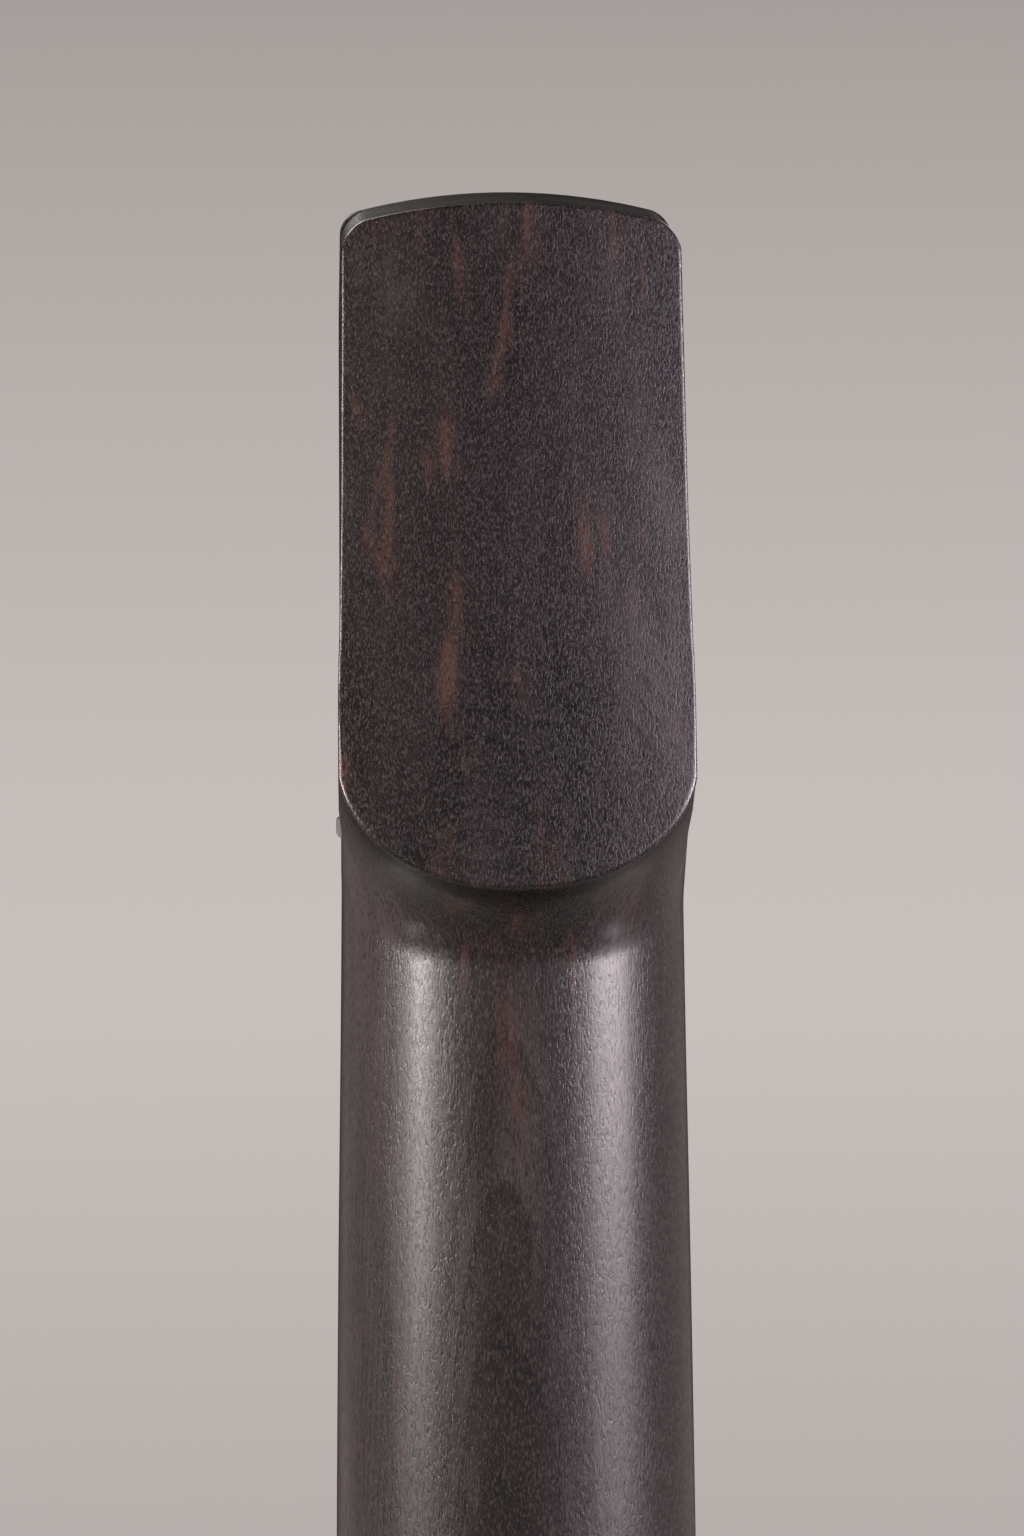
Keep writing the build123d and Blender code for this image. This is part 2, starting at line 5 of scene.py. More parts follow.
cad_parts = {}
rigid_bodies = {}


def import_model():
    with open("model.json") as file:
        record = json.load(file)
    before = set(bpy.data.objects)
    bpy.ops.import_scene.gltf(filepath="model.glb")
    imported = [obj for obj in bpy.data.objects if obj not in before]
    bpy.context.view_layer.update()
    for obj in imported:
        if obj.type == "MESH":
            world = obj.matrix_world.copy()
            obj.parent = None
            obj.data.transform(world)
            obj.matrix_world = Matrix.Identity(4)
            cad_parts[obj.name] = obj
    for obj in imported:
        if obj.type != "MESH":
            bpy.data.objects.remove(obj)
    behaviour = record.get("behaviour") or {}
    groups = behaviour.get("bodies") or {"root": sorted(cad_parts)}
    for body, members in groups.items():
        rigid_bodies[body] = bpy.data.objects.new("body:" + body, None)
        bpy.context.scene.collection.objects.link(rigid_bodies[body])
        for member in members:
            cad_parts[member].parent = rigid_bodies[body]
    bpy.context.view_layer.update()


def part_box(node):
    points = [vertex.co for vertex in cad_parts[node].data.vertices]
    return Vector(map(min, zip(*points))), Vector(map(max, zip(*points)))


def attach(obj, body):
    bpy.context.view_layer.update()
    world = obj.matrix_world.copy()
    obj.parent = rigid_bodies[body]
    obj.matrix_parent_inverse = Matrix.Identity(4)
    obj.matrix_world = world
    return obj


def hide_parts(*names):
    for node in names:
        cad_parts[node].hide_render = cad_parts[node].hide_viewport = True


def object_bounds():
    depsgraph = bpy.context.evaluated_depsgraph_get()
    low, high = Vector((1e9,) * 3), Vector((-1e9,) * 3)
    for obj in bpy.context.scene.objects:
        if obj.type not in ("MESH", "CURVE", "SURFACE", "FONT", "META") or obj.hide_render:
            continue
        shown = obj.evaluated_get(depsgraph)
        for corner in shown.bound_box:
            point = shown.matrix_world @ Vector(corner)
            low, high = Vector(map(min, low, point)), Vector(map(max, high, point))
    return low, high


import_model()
MM = 0.001

# ---------------------------------------------------------------- sizes, mm
lo_nut, hi_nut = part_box("nut_bar")
NUT = (lo_nut[2] + hi_nut[2]) / 2 / MM
PLAY_Y, CHIN_Y, HEAD_TOP_Y = -95.0, -69.0, -79.0
CHIN_Z, HEAD_TOP_Z, CHIN_START = -3.7, 44.9, 5.8
BETA = math.radians(7.7)
GRADE = (CHIN_Y - HEAD_TOP_Y) / (HEAD_TOP_Z - CHIN_Z)
GAMMA = math.atan(GRADE)
KV = math.cos(BETA) + math.tan(BETA + GAMMA) * math.sin(BETA)
V_TOP, V_SIDE = (HEAD_TOP_Z - CHIN_Z) / KV, (CHIN_START - CHIN_Z) / KV
END_R = 45.0


# ---------------------------------------------------------------- helpers
def new_obj(name, me):
    o = bpy.data.objects.new(name, me)
    bpy.context.scene.collection.objects.link(o)
    return o


def mesh_from(name, verts, faces, scale=MM):
    me = bpy.data.meshes.new(name)
    me.from_pydata([tuple(c * scale for c in v) for v in verts], [], faces)
    me.validate()
    me.update()
    return new_obj(name, me)


def smooth_by_angle(o, deg=35.0):
    bm = bmesh.new()
    bm.from_mesh(o.data)
    lim = math.radians(deg)
    for f in bm.faces:
        f.smooth = True
    for e in bm.edges:
        if len(e.link_faces) == 2:
            e.smooth = e.calc_face_angle(0.0) < lim
    bm.to_mesh(o.data)
    bm.free()


def tube_mesh(points, radius, sides=12, closed=False, name="tube", cap=True):
    """Mesh tube along points (mm); radius may be a number or a list."""
    pts = [Vector(p) for p in points]
    n = len(pts)
    rad = radius if hasattr(radius, "__len__") else [radius] * n
    verts, faces = [], []
    prev = None
    for i, p in enumerate(pts):
        a = pts[(i - 1) % n] if (closed or i > 0) else p
        b = pts[(i + 1) % n] if (closed or i < n - 1) else p
        t = (b - a).normalized()
        if prev is None:
            ref = Vector((0, 0, 1)) if abs(t.z) < 0.9 else Vector((1, 0, 0))
            u = t.cross(ref).normalized()
        else:
            u = (prev - t * prev.dot(t)).normalized()
        prev = u
        v = t.cross(u)
        for k in range(sides):
            a2 = 2 * math.pi * k / sides
            verts.append(p + (u * math.cos(a2) + v * math.sin(a2)) * rad[i])
    rings = n if closed else n - 1
    for i in range(rings):
        j = (i + 1) % n
        for k in range(sides):
            l = (k + 1) % sides
            faces.append((i * sides + k, i * sides + l, j * sides + l, j * sides + k))
    if not closed and cap:
        faces.append(tuple(reversed(range(sides))))
        faces.append(tuple(range((n - 1) * sides, n * sides)))
    return verts, faces


def merge(parts):
    V, F = [], []
    for v, f in parts:
        off = len(V)
        V.extend(v)
        F.extend([tuple(i + off for i in q) for q in f])
    return V, F


# ---------------------------------------------------------------- head and upper neck
def rmax(a, b, r):
    both = (a > -r) & (b > -r)
    return np.where(both, np.hypot(np.maximum(a + r, 0), np.maximum(b + r, 0)) - r, np.maximum(a, b))


def rmin(a, b, r):
    return -rmax(-a, -b, r)


ST_Z = np.array([-205.0, -150.0, -100.0, -52.0, -32.0, -14.0, -1.7, 8.0, 60.0])
ST_W = np.array([27.7, 27.35, 26.9, 26.2, 25.7, 25.1, 24.8, 24.8, 24.8])
ST_D = np.array([23.1, 22.8, 22.5, 22.25, 22.15, 22.05, 22.0, 22.0, 22.0])
_g = np.arange(-230, 80, 0.5)
_k = np.exp(-0.5 * (np.arange(-24, 25) * 0.5 / 4.0) ** 2)
_k /= _k.sum()


def _smooth(vals):
    s = np.interp(_g, ST_Z, vals)
    lo = vals[0] + (vals[1] - vals[0]) / (ST_Z[1] - ST_Z[0]) * (_g - ST_Z[0])
    s = np.where(_g < ST_Z[0], lo, s)
    return np.convolve(np.pad(s, 24, mode="edge"), _k, "valid")


G_W, G_D = _smooth(ST_W), _smooth(ST_D)
HZ = np.array([-8.0, 9.0, 23.0, 37.0, 50.0])
HF = np.array([12.42, 12.42, 12.35, 12.28, 12.22])
HB = np.array([12.8, 12.7, 12.43, 12.26, 12.2])
FILLET = 6.9
FACE_R = 110.0


def solid(x, y, z):
    """Signed distance-like field of the head and upper neck, mm, z above the nut."""
    ax = np.abs(x)
    w = np.interp(z, _g, G_W)
    d = np.interp(z, _g, G_D)
    sy = PLAY_Y + d - w / 2
    arc = np.hypot(x, y - sy) - w / 2
    flat = np.maximum(ax - w / 2, -1e3)
    neck = np.where(y > sy, arc, flat)
    neck = np.maximum(neck, PLAY_Y - y)
    neck = np.maximum(neck, (ax - w / 2 + PLAY_Y - y + 0.6) * 0.7071)
    # outline in the plane square to the sloped end
    v = (y - CHIN_Y) * math.sin(BETA) + (z - CHIN_Z) * math.cos(BETA)
    n = 2.4
    a, b = 12.9, V_SIDE
    A = np.maximum(ax / a, 1e-6)
    B = np.maximum((V_SIDE - v) / b, 1e-6)
    F = (A ** n + B ** n) ** (1 / n)
    gu = A ** (n - 1) / a * F ** (1 - n)
    gv = B ** (n - 1) / b * F ** (1 - n)
    ue = (F - 1) / np.maximum(np.hypot(gu, gv), 1e-6)
    half = 12.9 + (12.22 - 12.9) * np.clip((v - V_SIDE) / (V_TOP - 1.7 - V_SIDE), 0, 1.2)
    side = ax - half
    crown = np.hypot(x, v - (V_TOP - END_R)) - END_R
    up = rmax(side, crown, 1.9)
    outline = np.where(v < V_SIDE, ue, up)
    hf = np.interp(z, HZ, HF)
    hb = np.interp(z, HZ, HB)
    back = CHIN_Y - (z - CHIN_Z) * GRADE
    t = np.clip((y - PLAY_Y) / (back - PLAY_Y), 0, 1.1)
    hw = hf + (hb - hf) * t
    body = np.maximum(outline, ax - hw)
    neck2 = np.maximum(np.maximum(neck, -outline - 3.0), z - 6.5)
    f = rmin(neck2, body, FILLET)
    face = (y - back + x * x / (2 * FACE_R)) * math.cos(GAMMA)
    s = np.clip((z + 1.0) / 8.0, 0, 1)
    rim = 0.42 - 0.2 * s
    f = rmax(f, face, rim)
    lim = np.where(z > 1.2, np.maximum(hw, w / 2), w / 2 + np.clip((z + 0.5) / 1.7, 0, 1) * np.maximum(hw - w / 2, 0))
    f = rmax(f, ax - lim, 0.12)
    f = rmax(f, PLAY_Y - y, 0.05)
    return f


def head_mesh():
    import time
    t0 = time.time()
    yc = -86.0
    zs = []
    zs += list(np.arange(-205, -56, 4.0))
    zs += list(np.arange(-55, -16, 0.8))
    zs += list(np.arange(-15.6, -9, 0.3))
    zs += list(np.arange(-9.0, 9.0, 0.14))
    zs += list(np.arange(9.2, 42.2, 0.6))
    # crown: ring heights so that the section narrows evenly
    vt = V_TOP
    zc = (vt / math.cos(BETA)) + CHIN_Z - (yc - CHIN_Y) * math.tan(BETA)   # apex height at y = yc
    zs += list(np.linspace(42.3, zc - 2.2, 10))
    for xi in np.linspace(12.3, 0.4, 36):
        zs.append(zc - (END_R - math.sqrt(END_R ** 2 - xi ** 2)) / math.cos(BETA) - 0.0008)
    zs = np.array(sorted(set(np.round(zs, 5))))
    M, N = ((1400, 400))
    th = np.linspace(-math.pi, math.pi, M, endpoint=False) + math.pi / M
    sx, cy = np.sin(th), np.cos(th)
    tilt = math.tan(BETA) * np.clip((zs + 40.0) / 28.0, 0, 1)
    Z0 = zs[:, None]
    T = tilt[:, None]
    lo = np.full((len(zs), M), 0.2)
    hi = np.full((len(zs), M), 32.0)
    for _ in range(26):
        mid = (lo + hi) / 2
        X = mid * sx
        Yl = mid * cy
        inside = solid(X, yc + Yl, Z0 - Yl * T) < 0
        lo = np.where(inside, mid, lo)
        hi = np.where(inside, hi, mid)
    R = (lo + hi) / 2
    X, Y = R * sx, yc + R * cy
    Zz = Z0 - (Y - yc) * T
    verts = []
    for i in range(len(zs)):
        px, py, pz = X[i], Y[i], Zz[i]
        dx = np.diff(np.append(px, px[0]))
        dy = np.diff(np.append(py, py[0]))
        ds = np.hypot(dx, dy)
        ang = np.unwrap(np.arctan2(dy, dx))
        dang = np.abs(np.diff(np.append(ang, ang[0] + 2 * math.pi * np.sign(ang[-1] - ang[0]))))
        wgt = ds + 2.2 * np.minimum(dang, 0.6)
        wgt = np.convolve(np.concatenate([wgt[-6:], wgt, wgt[:6]]), np.ones(13) / 13, "valid")
        cum = np.concatenate([[0], np.cumsum(wgt)])
        tgt = np.linspace(0, cum[-1], N, endpoint=False)
        idx = np.arange(M + 1)
        u = np.interp(tgt, cum, idx)
        ex, ey, ez = np.append(px, px[0]), np.append(py, py[0]), np.append(pz, pz[0])
        verts.append(np.stack([np.interp(u, idx, ex), np.interp(u, idx, ey), np.interp(u, idx, ez) + NUT], 1))
    V = np.concatenate(verts)
    rows = len(zs)
    i = np.arange(rows - 1)[:, None] * N
    k = np.arange(N)[None, :]
    l = (k + 1) % N
    quads = np.stack([i + k, i + l, i + N + l, i + N + k], -1).reshape(-1, 4)
    me = bpy.data.meshes.new("head_upper_neck_wood")
    nv, nf = len(V), len(quads)
    me.vertices.add(nv)
    me.vertices.foreach_set("co", (V * MM).astype(np.float32).ravel())
    caps = [np.arange(N)[::-1], np.arange(N) + (rows - 1) * N]
    loops = np.concatenate([quads.ravel()] + caps)
    starts = np.concatenate([np.arange(nf) * 4, [nf * 4, nf * 4 + N]])
    me.loops.add(len(loops))
    me.loops.foreach_set("vertex_index", loops.astype(np.int32))
    me.polygons.add(nf + 2)
    me.polygons.foreach_set("loop_start", starts.astype(np.int32))
    me.update(calc_edges=True)
    me.validate()
    print("head mesh s", round(time.time() - t0, 1))
    o = new_obj("head_upper_neck_wood", me)
    bm = bmesh.new()
    bm.from_mesh(me)
    bmesh.ops.recalc_face_normals(bm, faces=bm.faces)
    bm.to_mesh(me)
    bm.free()
    return o


def cutter(name, verts, faces):
    o = mesh_from(name, verts, faces)
    bm = bmesh.new()
    bm.from_mesh(o.data)
    bmesh.ops.recalc_face_normals(bm, faces=bm.faces)
    bm.to_mesh(o.data)
    bm.free()
    return o


def box_vf(x0, x1, y0, y1, z0, z1):
    v = [(x0, y0, z0), (x1, y0, z0), (x1, y1, z0), (x0, y1, z0), (x0, y0, z1), (x1, y0, z1), (x1, y1, z1), (x0, y1, z1)]
    f = [(0, 3, 2, 1), (4, 5, 6, 7), (0, 1, 5, 4), (1, 2, 6, 5), (2, 3, 7, 6), (3, 0, 4, 7)]
    return v, f


def prism_y(poly, y0, y1):
    n = len(poly)
    v = [(x, y0, z) for x, z in poly] + [(x, y1, z) for x, z in poly]
    f = [tuple(range(n)), tuple(reversed(range(n, 2 * n)))]
    f += [(i, (i + 1) % n, n + (i + 1) % n, n + i) for i in range(n)]
    return v, f


def rounded_rect(cx, cz, w, h, r, seg=8):
    pts = []
    for sx, sz, a0 in ((1, 1, 0), (-1, 1, 90), (-1, -1, 180), (1, -1, 270)):
        for i in range(seg + 1):
            a = math.radians(a0 + 90 * i / seg)
            pts.append((cx + sx * (w / 2 - r) + r * math.cos(a), cz + sz * (h / 2 - r) + r * math.sin(a)))
    return pts


def cyl_x(x0, x1, cy, cz, r, seg=64):
    v = [(x, cy + r * math.cos(2 * math.pi * i / seg), cz + r * math.sin(2 * math.pi * i / seg)) for x in (x0, x1) for i in range(seg)]
    f = [tuple(range(seg)), tuple(reversed(range(seg, 2 * seg)))]
    f += [(i, (i + 1) % seg, seg + (i + 1) % seg, seg + i) for i in range(seg)]
    return v, f


def cut_all(target, cutters):
    col = bpy.data.collections.new("cutters")
    for c in cutters:
        bpy.context.scene.collection.objects.unlink(c)
        col.objects.link(c)
    m = target.modifiers.new("cut", "BOOLEAN")
    m.operation = "DIFFERENCE"
    m.solver = "EXACT"
    m.operand_type = "COLLECTION"
    m.collection = col
    bpy.context.view_layer.update()
    dg = bpy.context.evaluated_depsgraph_get()
    me = bpy.data.meshes.new_from_object(target.evaluated_get(dg))
    target.modifiers.remove(m)
    target.data = me
    for c in list(col.objects):
        bpy.data.objects.remove(c)
    bpy.data.collections.remove(col)


PEG_Z = (12.0, 25.0, 38.0)
head = head_mesh()
cutters = [
    cutter("c_seat", *box_vf(-20, 20, -101, PLAY_Y + 2.5, NUT + 1.2, NUT + 60)),
    cutter("c_slot", *prism_y(rounded_rect(0, NUT + 23.3, 15.0, 40.6, 2.0), -101.5, -82.4)),
    cutter("c_nut", *box_vf(-21, 21, -101.2, -88.0, NUT - 0.765, NUT + 0.765)),
]
for pz in PEG_Z:
    cutters.append(cutter("c_bore", *cyl_x(-22, 22, -87.5, NUT + pz, 3.05)))
    for s in (-1, 1):
        a, b = sorted((s * 8.4, s * 14.0))
        cutters.append(cutter("c_bush", *cyl_x(a, b, -87.5, NUT + pz, 4.2)))
cut_all(head, cutters)
smooth_by_angle(head, 32)
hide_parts("head_and_upper_neck")
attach(head, "instrument")
print("head faces", len(head.data.polygons))


# ---------------------------------------------------------------- materials
def nodes_of(name):
    m = bpy.data.materials.new(name)
    m.use_nodes = True
    nt = m.node_tree
    for n in list(nt.nodes):
        nt.nodes.remove(n)
    out = nt.nodes.new("ShaderNodeOutputMaterial")
    bs = nt.nodes.new("ShaderNodeBsdfPrincipled")
    nt.links.new(bs.outputs[0], out.inputs[0])
    return m, nt, bs


class NT:
    """Small helper that adds nodes to a material."""
    def __init__(self, nt):
        self.nt = nt
        self.tc = nt.nodes.new("ShaderNodeTexCoord")

    def add(self, kind, **kw):
        n = self.nt.nodes.new(kind)
        for k, v in kw.items():
            setattr(n, k, v)
        return n

    def link(self, a, b):
        self.nt.links.new(a, b)

    def put(self, sock, v):
        if isinstance(v, (int, float, tuple, list)):
            sock.default_value = v
        else:
            self.link(v, sock)

    def mapping(self, scale=(1, 1, 1), loc=(0, 0, 0), rot=(0, 0, 0), src=None):
        m = self.add("ShaderNodeMapping")
        m.inputs["Scale"].default_value = scale
        m.inputs["Location"].default_value = loc
        m.inputs["Rotation"].default_value = rot
        self.link(src or self.tc.outputs["Object"], m.inputs["Vector"])
        return m.outputs[0]

    def noise(self, vec, scale=1.0, detail=2.0, rough=0.5, dist=0.0, fac=True):
        n = self.add("ShaderNodeTexNoise")
        n.inputs["Scale"].default_value = scale
        n.inputs["Detail"].default_value = detail
        n.inputs["Roughness"].default_value = rough
        n.inputs["Distortion"].default_value = dist
        self.link(vec, n.inputs["Vector"])
        return n.outputs["Fac"] if fac else n.outputs["Color"]

    def math(self, op, a, b=0.0, c=None, clamp=False):
        n = self.add("ShaderNodeMath", operation=op, use_clamp=clamp)
        self.put(n.inputs[0], a)
        self.put(n.inputs[1], b)
        if c is not None:
            self.put(n.inputs[2], c)
        return n.outputs[0]

    def ramp(self, fac, stops, interp="LINEAR"):
        n = self.add("ShaderNodeValToRGB")
        cr = n.color_ramp
        cr.interpolation = interp
        while len(cr.elements) > 1:
            cr.elements.remove(cr.elements[-1])
        cr.elements[0].position = stops[0][0]
        cr.elements[0].color = (*stops[0][1], 1)
        for p, c in stops[1:]:
            e = cr.elements.new(p)
            e.color = (*c, 1)
        self.put(n.inputs[0], fac)
        return n.outputs[0]

    def maprange(self, v, a, b, c, d, smooth=False):
        n = self.add("ShaderNodeMapRange")
        n.interpolation_type = "SMOOTHSTEP" if smooth else "LINEAR"
        n.clamp = True
        self.put(n.inputs[0], v)
        for i, val in zip((1, 2, 3, 4), (a, b, c, d)):
            n.inputs[i].default_value = val
        return n.outputs[0]

    def mix(self, fac, a, b, mode="MIX"):
        n = self.add("ShaderNodeMix", data_type="RGBA", blend_type=mode)
        self.put(n.inputs[0], fac)
        for i, v in ((6, a), (7, b)):
            if isinstance(v, tuple):
                n.inputs[i].default_value = (*v, 1)
            else:
                self.link(v, n.inputs[i])
        return n.outputs[2]

    def bump(self, height, strength=0.2, dist=0.0002, normal=None):
        n = self.add("ShaderNodeBump")
        n.inputs["Strength"].default_value = strength
        n.inputs["Distance"].default_value = dist
        self.put(n.inputs["Height"], height)
        if normal is not None:
            self.link(normal, n.inputs["Normal"])
        return n.outputs[0]


def wood(name, dark, mid, light, ring_center=(0.006, -0.03), ring_scale=1900.0, rough=(0.24, 0.34), coat=0.22,
         fleck=0.6, streak=(0.056, 0.026, 0.018), spec=0.5):
    m, nt, bs = nodes_of(name)
    N = NT(nt)
    obj = N.tc.outputs["Object"]
    # growth rings round a slanted heart line, wavy along the grain
    warp = N.noise(N.mapping((60, 60, 9)), 1.0, 3.0, 0.55, 0.2, fac=False)
    wv = N.add("ShaderNodeVectorMath", operation="SCALE")
    N.link(warp, wv.inputs[0])
    wv.inputs["Scale"].default_value = 0.0016
    addv = N.add("ShaderNodeVectorMath", operation="ADD")
    N.link(obj, addv.inputs[0])
    N.link(wv.outputs[0], addv.inputs[1])
    sep = N.add("ShaderNodeSeparateXYZ")
    N.link(addv.outputs[0], sep.inputs[0])
    zz = N.math("MULTIPLY", sep.outputs[2], 0.045)
    dx = N.math("SUBTRACT", sep.outputs[0], ring_center[0])
    dy = N.math("SUBTRACT", N.math("SUBTRACT", sep.outputs[1], ring_center[1]), zz)
    rr = N.math("SQRT", N.math("ADD", N.math("MULTIPLY", dx, dx), N.math("MULTIPLY", dy, dy)))
    ph = N.math("MULTIPLY", rr, ring_scale)
    fr = N.math("FRACT", ph)
    ring = N.math("POWER", fr, 3.0)
    gate = N.noise(N.mapping((90, 90, 30), (6, 2, 9)), 1.0, 2.0, 0.5)
    ring = N.math("MULTIPLY", ring, N.maprange(gate, 0.42, 0.66, 0.0, 1.0, True))
    blot = N.noise(N.mapping((95, 95, 14), (3, 1, 7)), 1.0, 4.0, 0.62)
    tone = N.math("SUBTRACT", blot, N.math("MULTIPLY", ring, 0.16))
    col = N.ramp(tone, [(0.25, dark), (0.50, mid), (0.80, light)])
    # brown streaks along the grain
    st = N.noise(N.mapping((330, 330, 19), (2, 8, 5)), 1.0, 3.0, 0.6, 0.3)
    stm = N.maprange(st, 0.54, 0.72, 0.0, 0.9, True)
    col = N.mix(stm, col, streak)
    # pores, short and fine along the grain
    po = N.noise(N.mapping((9000, 9000, 2700), (1, 3, 2)), 1.0, 2.0, 0.65)
    pom = N.maprange(po, 0.47, 0.70, 0.0, fleck, True)
    col2 = N.mix(pom, col, light)
    pd = N.noise(N.mapping((6400, 6400, 1500), (9, 1, 4)), 1.0, 2.0, 0.6)
    pdm = N.maprange(pd, 0.48, 0.68, 0.0, 0.75, True)
    col3 = N.mix(pdm, col2, dark)
    N.link(col3, bs.inputs["Base Color"])
    rg = N.maprange(N.math("ADD", N.math("MULTIPLY", po, 0.6), N.math("MULTIPLY", blot, 0.4)), 0.3, 0.7, rough[0], rough[1])
    N.link(rg, bs.inputs["Roughness"])
    h = N.math("ADD", N.math("MULTIPLY", pom, 0.5), N.math("MULTIPLY", pdm, -1.0))
    N.link(N.bump(h, 0.55, 0.00002), bs.inputs["Normal"])
    bs.inputs["Coat Weight"].default_value = coat
    bs.inputs["Coat Roughness"].default_value = 0.18
    bs.inputs["Specular IOR Level"].default_value = spec
    return m


neck_wood = wood("neck_wood_satin", (0.0034, 0.0026, 0.0027), (0.0140, 0.0102, 0.0099), (0.074, 0.057, 0.054))
head.data.materials.clear()
head.data.materials.append(neck_wood)


def dress(node, mat):
    o = bpy.data.objects[node] if node in bpy.data.objects else None
    if o is None:
        raise RuntimeError("no node " + node)
    o.data.materials.clear()
    o.data.materials.append(mat)
    return o


for n in ("neck_middle", "neck_lower_with_tang", "head_face_plate"):
    dress(n, neck_wood)


def body_wood_mat(name, along):
    """Reddish brown lacquered wood; along is the grain's axis, 0 for X and 2 for Z."""
    m, nt, bs = nodes_of(name)
    N = NT(nt)
    obj = N.tc.outputs["Object"]
    sc_l, sc_s = 7.0, 70.0
    scale = [sc_s, sc_s, sc_s]
    scale[along] = sc_l
    big = N.noise(N.mapping(tuple(scale), (1, 2, 3)), 1.0, 4.0, 0.55, 0.6)
    fine_s = [900.0] * 3
    fine_s[along] = 60.0
    fine = N.noise(N.mapping(tuple(fine_s), (4, 1, 2)), 1.0, 3.0, 0.6)
    pore_s = [3600.0] * 3
    pore_s[along] = 260.0
    pore = N.noise(N.mapping(tuple(pore_s), (7, 5, 3)), 1.0, 2.0, 0.55)
    tone = N.math("ADD", N.math("MULTIPLY", big, 0.62), N.math("MULTIPLY", fine, 0.38))
    col = N.ramp(tone, [(0.30, (0.030, 0.009, 0.0055)), (0.48, (0.075, 0.024, 0.0125)), (0.62, (0.135, 0.048, 0.023)), (0.75, (0.19, 0.078, 0.038))])
    pm = N.maprange(pore, 0.56, 0.70, 0.0, 0.85, True)
    col = N.mix(pm, col, (0.018, 0.006, 0.004))
    N.link(col, bs.inputs["Base Color"])
    N.link(N.maprange(fine, 0.3, 0.7, 0.26, 0.40), bs.inputs["Roughness"])
    N.link(N.bump(N.math("MULTIPLY", pm, -1.0), 0.25, 0.00003), bs.inputs["Normal"])
    bs.inputs["Coat Weight"].default_value = 0.6
    bs.inputs["Coat Roughness"].default_value = 0.09
    return m


bw_x = body_wood_mat("body_wood_across", 0)
bw_z = body_wood_mat("body_wood_upright", 2)
dress("body_panel_top", bw_x)
dress("body_panel_bottom", bw_x)
dress("body_panel_left", bw_z)
dress("body_panel_right", bw_z)


def hide_mat(name, base, dark, light, rough=0.5):
    m, nt, bs = nodes_of(name)
    N = NT(nt)
    cloud = N.noise(N.mapping((16, 16, 16), (5, 2, 1)), 1.0, 5.0, 0.6, 0.4)
    vein = N.noise(N.mapping((70, 70, 70), (2, 2, 8)), 1.0, 4.0, 0.6, 1.2)
    vl = N.math("ABSOLUTE", N.math("SUBTRACT", vein, 0.5))
    vm = N.maprange(vl, 0.0, 0.028, 0.22, 0.0, True)
    fol = N.add("ShaderNodeTexVoronoi", feature="DISTANCE_TO_EDGE")
    N.link(N.mapping((1500, 1500, 1500)), fol.inputs["Vector"])
    fol.inputs["Scale"].default_value = 1.0
    col = N.ramp(cloud, [(0.3, dark), (0.5, base), (0.7, light)])
    col = N.mix(vm, col, dark)
    spot = N.noise(N.mapping((420, 420, 420), (3, 9, 1)), 1.0, 2.0, 0.5)
    col = N.mix(N.maprange(spot, 0.66, 0.76, 0.0, 0.35, True), col, dark)
    N.link(col, bs.inputs["Base Color"])
    N.link(N.maprange(cloud, 0.3, 0.7, rough - 0.06, rough + 0.08), bs.inputs["Roughness"])
    h = N.math("ADD", N.math("MULTIPLY", fol.outputs[0], 0.6), N.math("MULTIPLY", vein, 0.5))
    N.link(N.bump(h, 0.22, 0.00006), bs.inputs["Normal"])
    bs.inputs["Subsurface Weight"].default_value = 0.12
    bs.inputs["Subsurface Radius"].default_value = (1.0, 0.7, 0.4)
    bs.inputs["Subsurface Scale"].default_value = 0.002
    return m


skin_mat = hide_mat("skin_hide", (0.70, 0.64, 0.53), (0.56, 0.48, 0.37), (0.78, 0.73, 0.63))
patch_mat = hide_mat("patch_hide", (0.58, 0.50, 0.38), (0.45, 0.36, 0.26), (0.66, 0.59, 0.47), 0.42)


# ---------------------------------------------------------------- skins
CXB, CZB = 85.0, 92.0


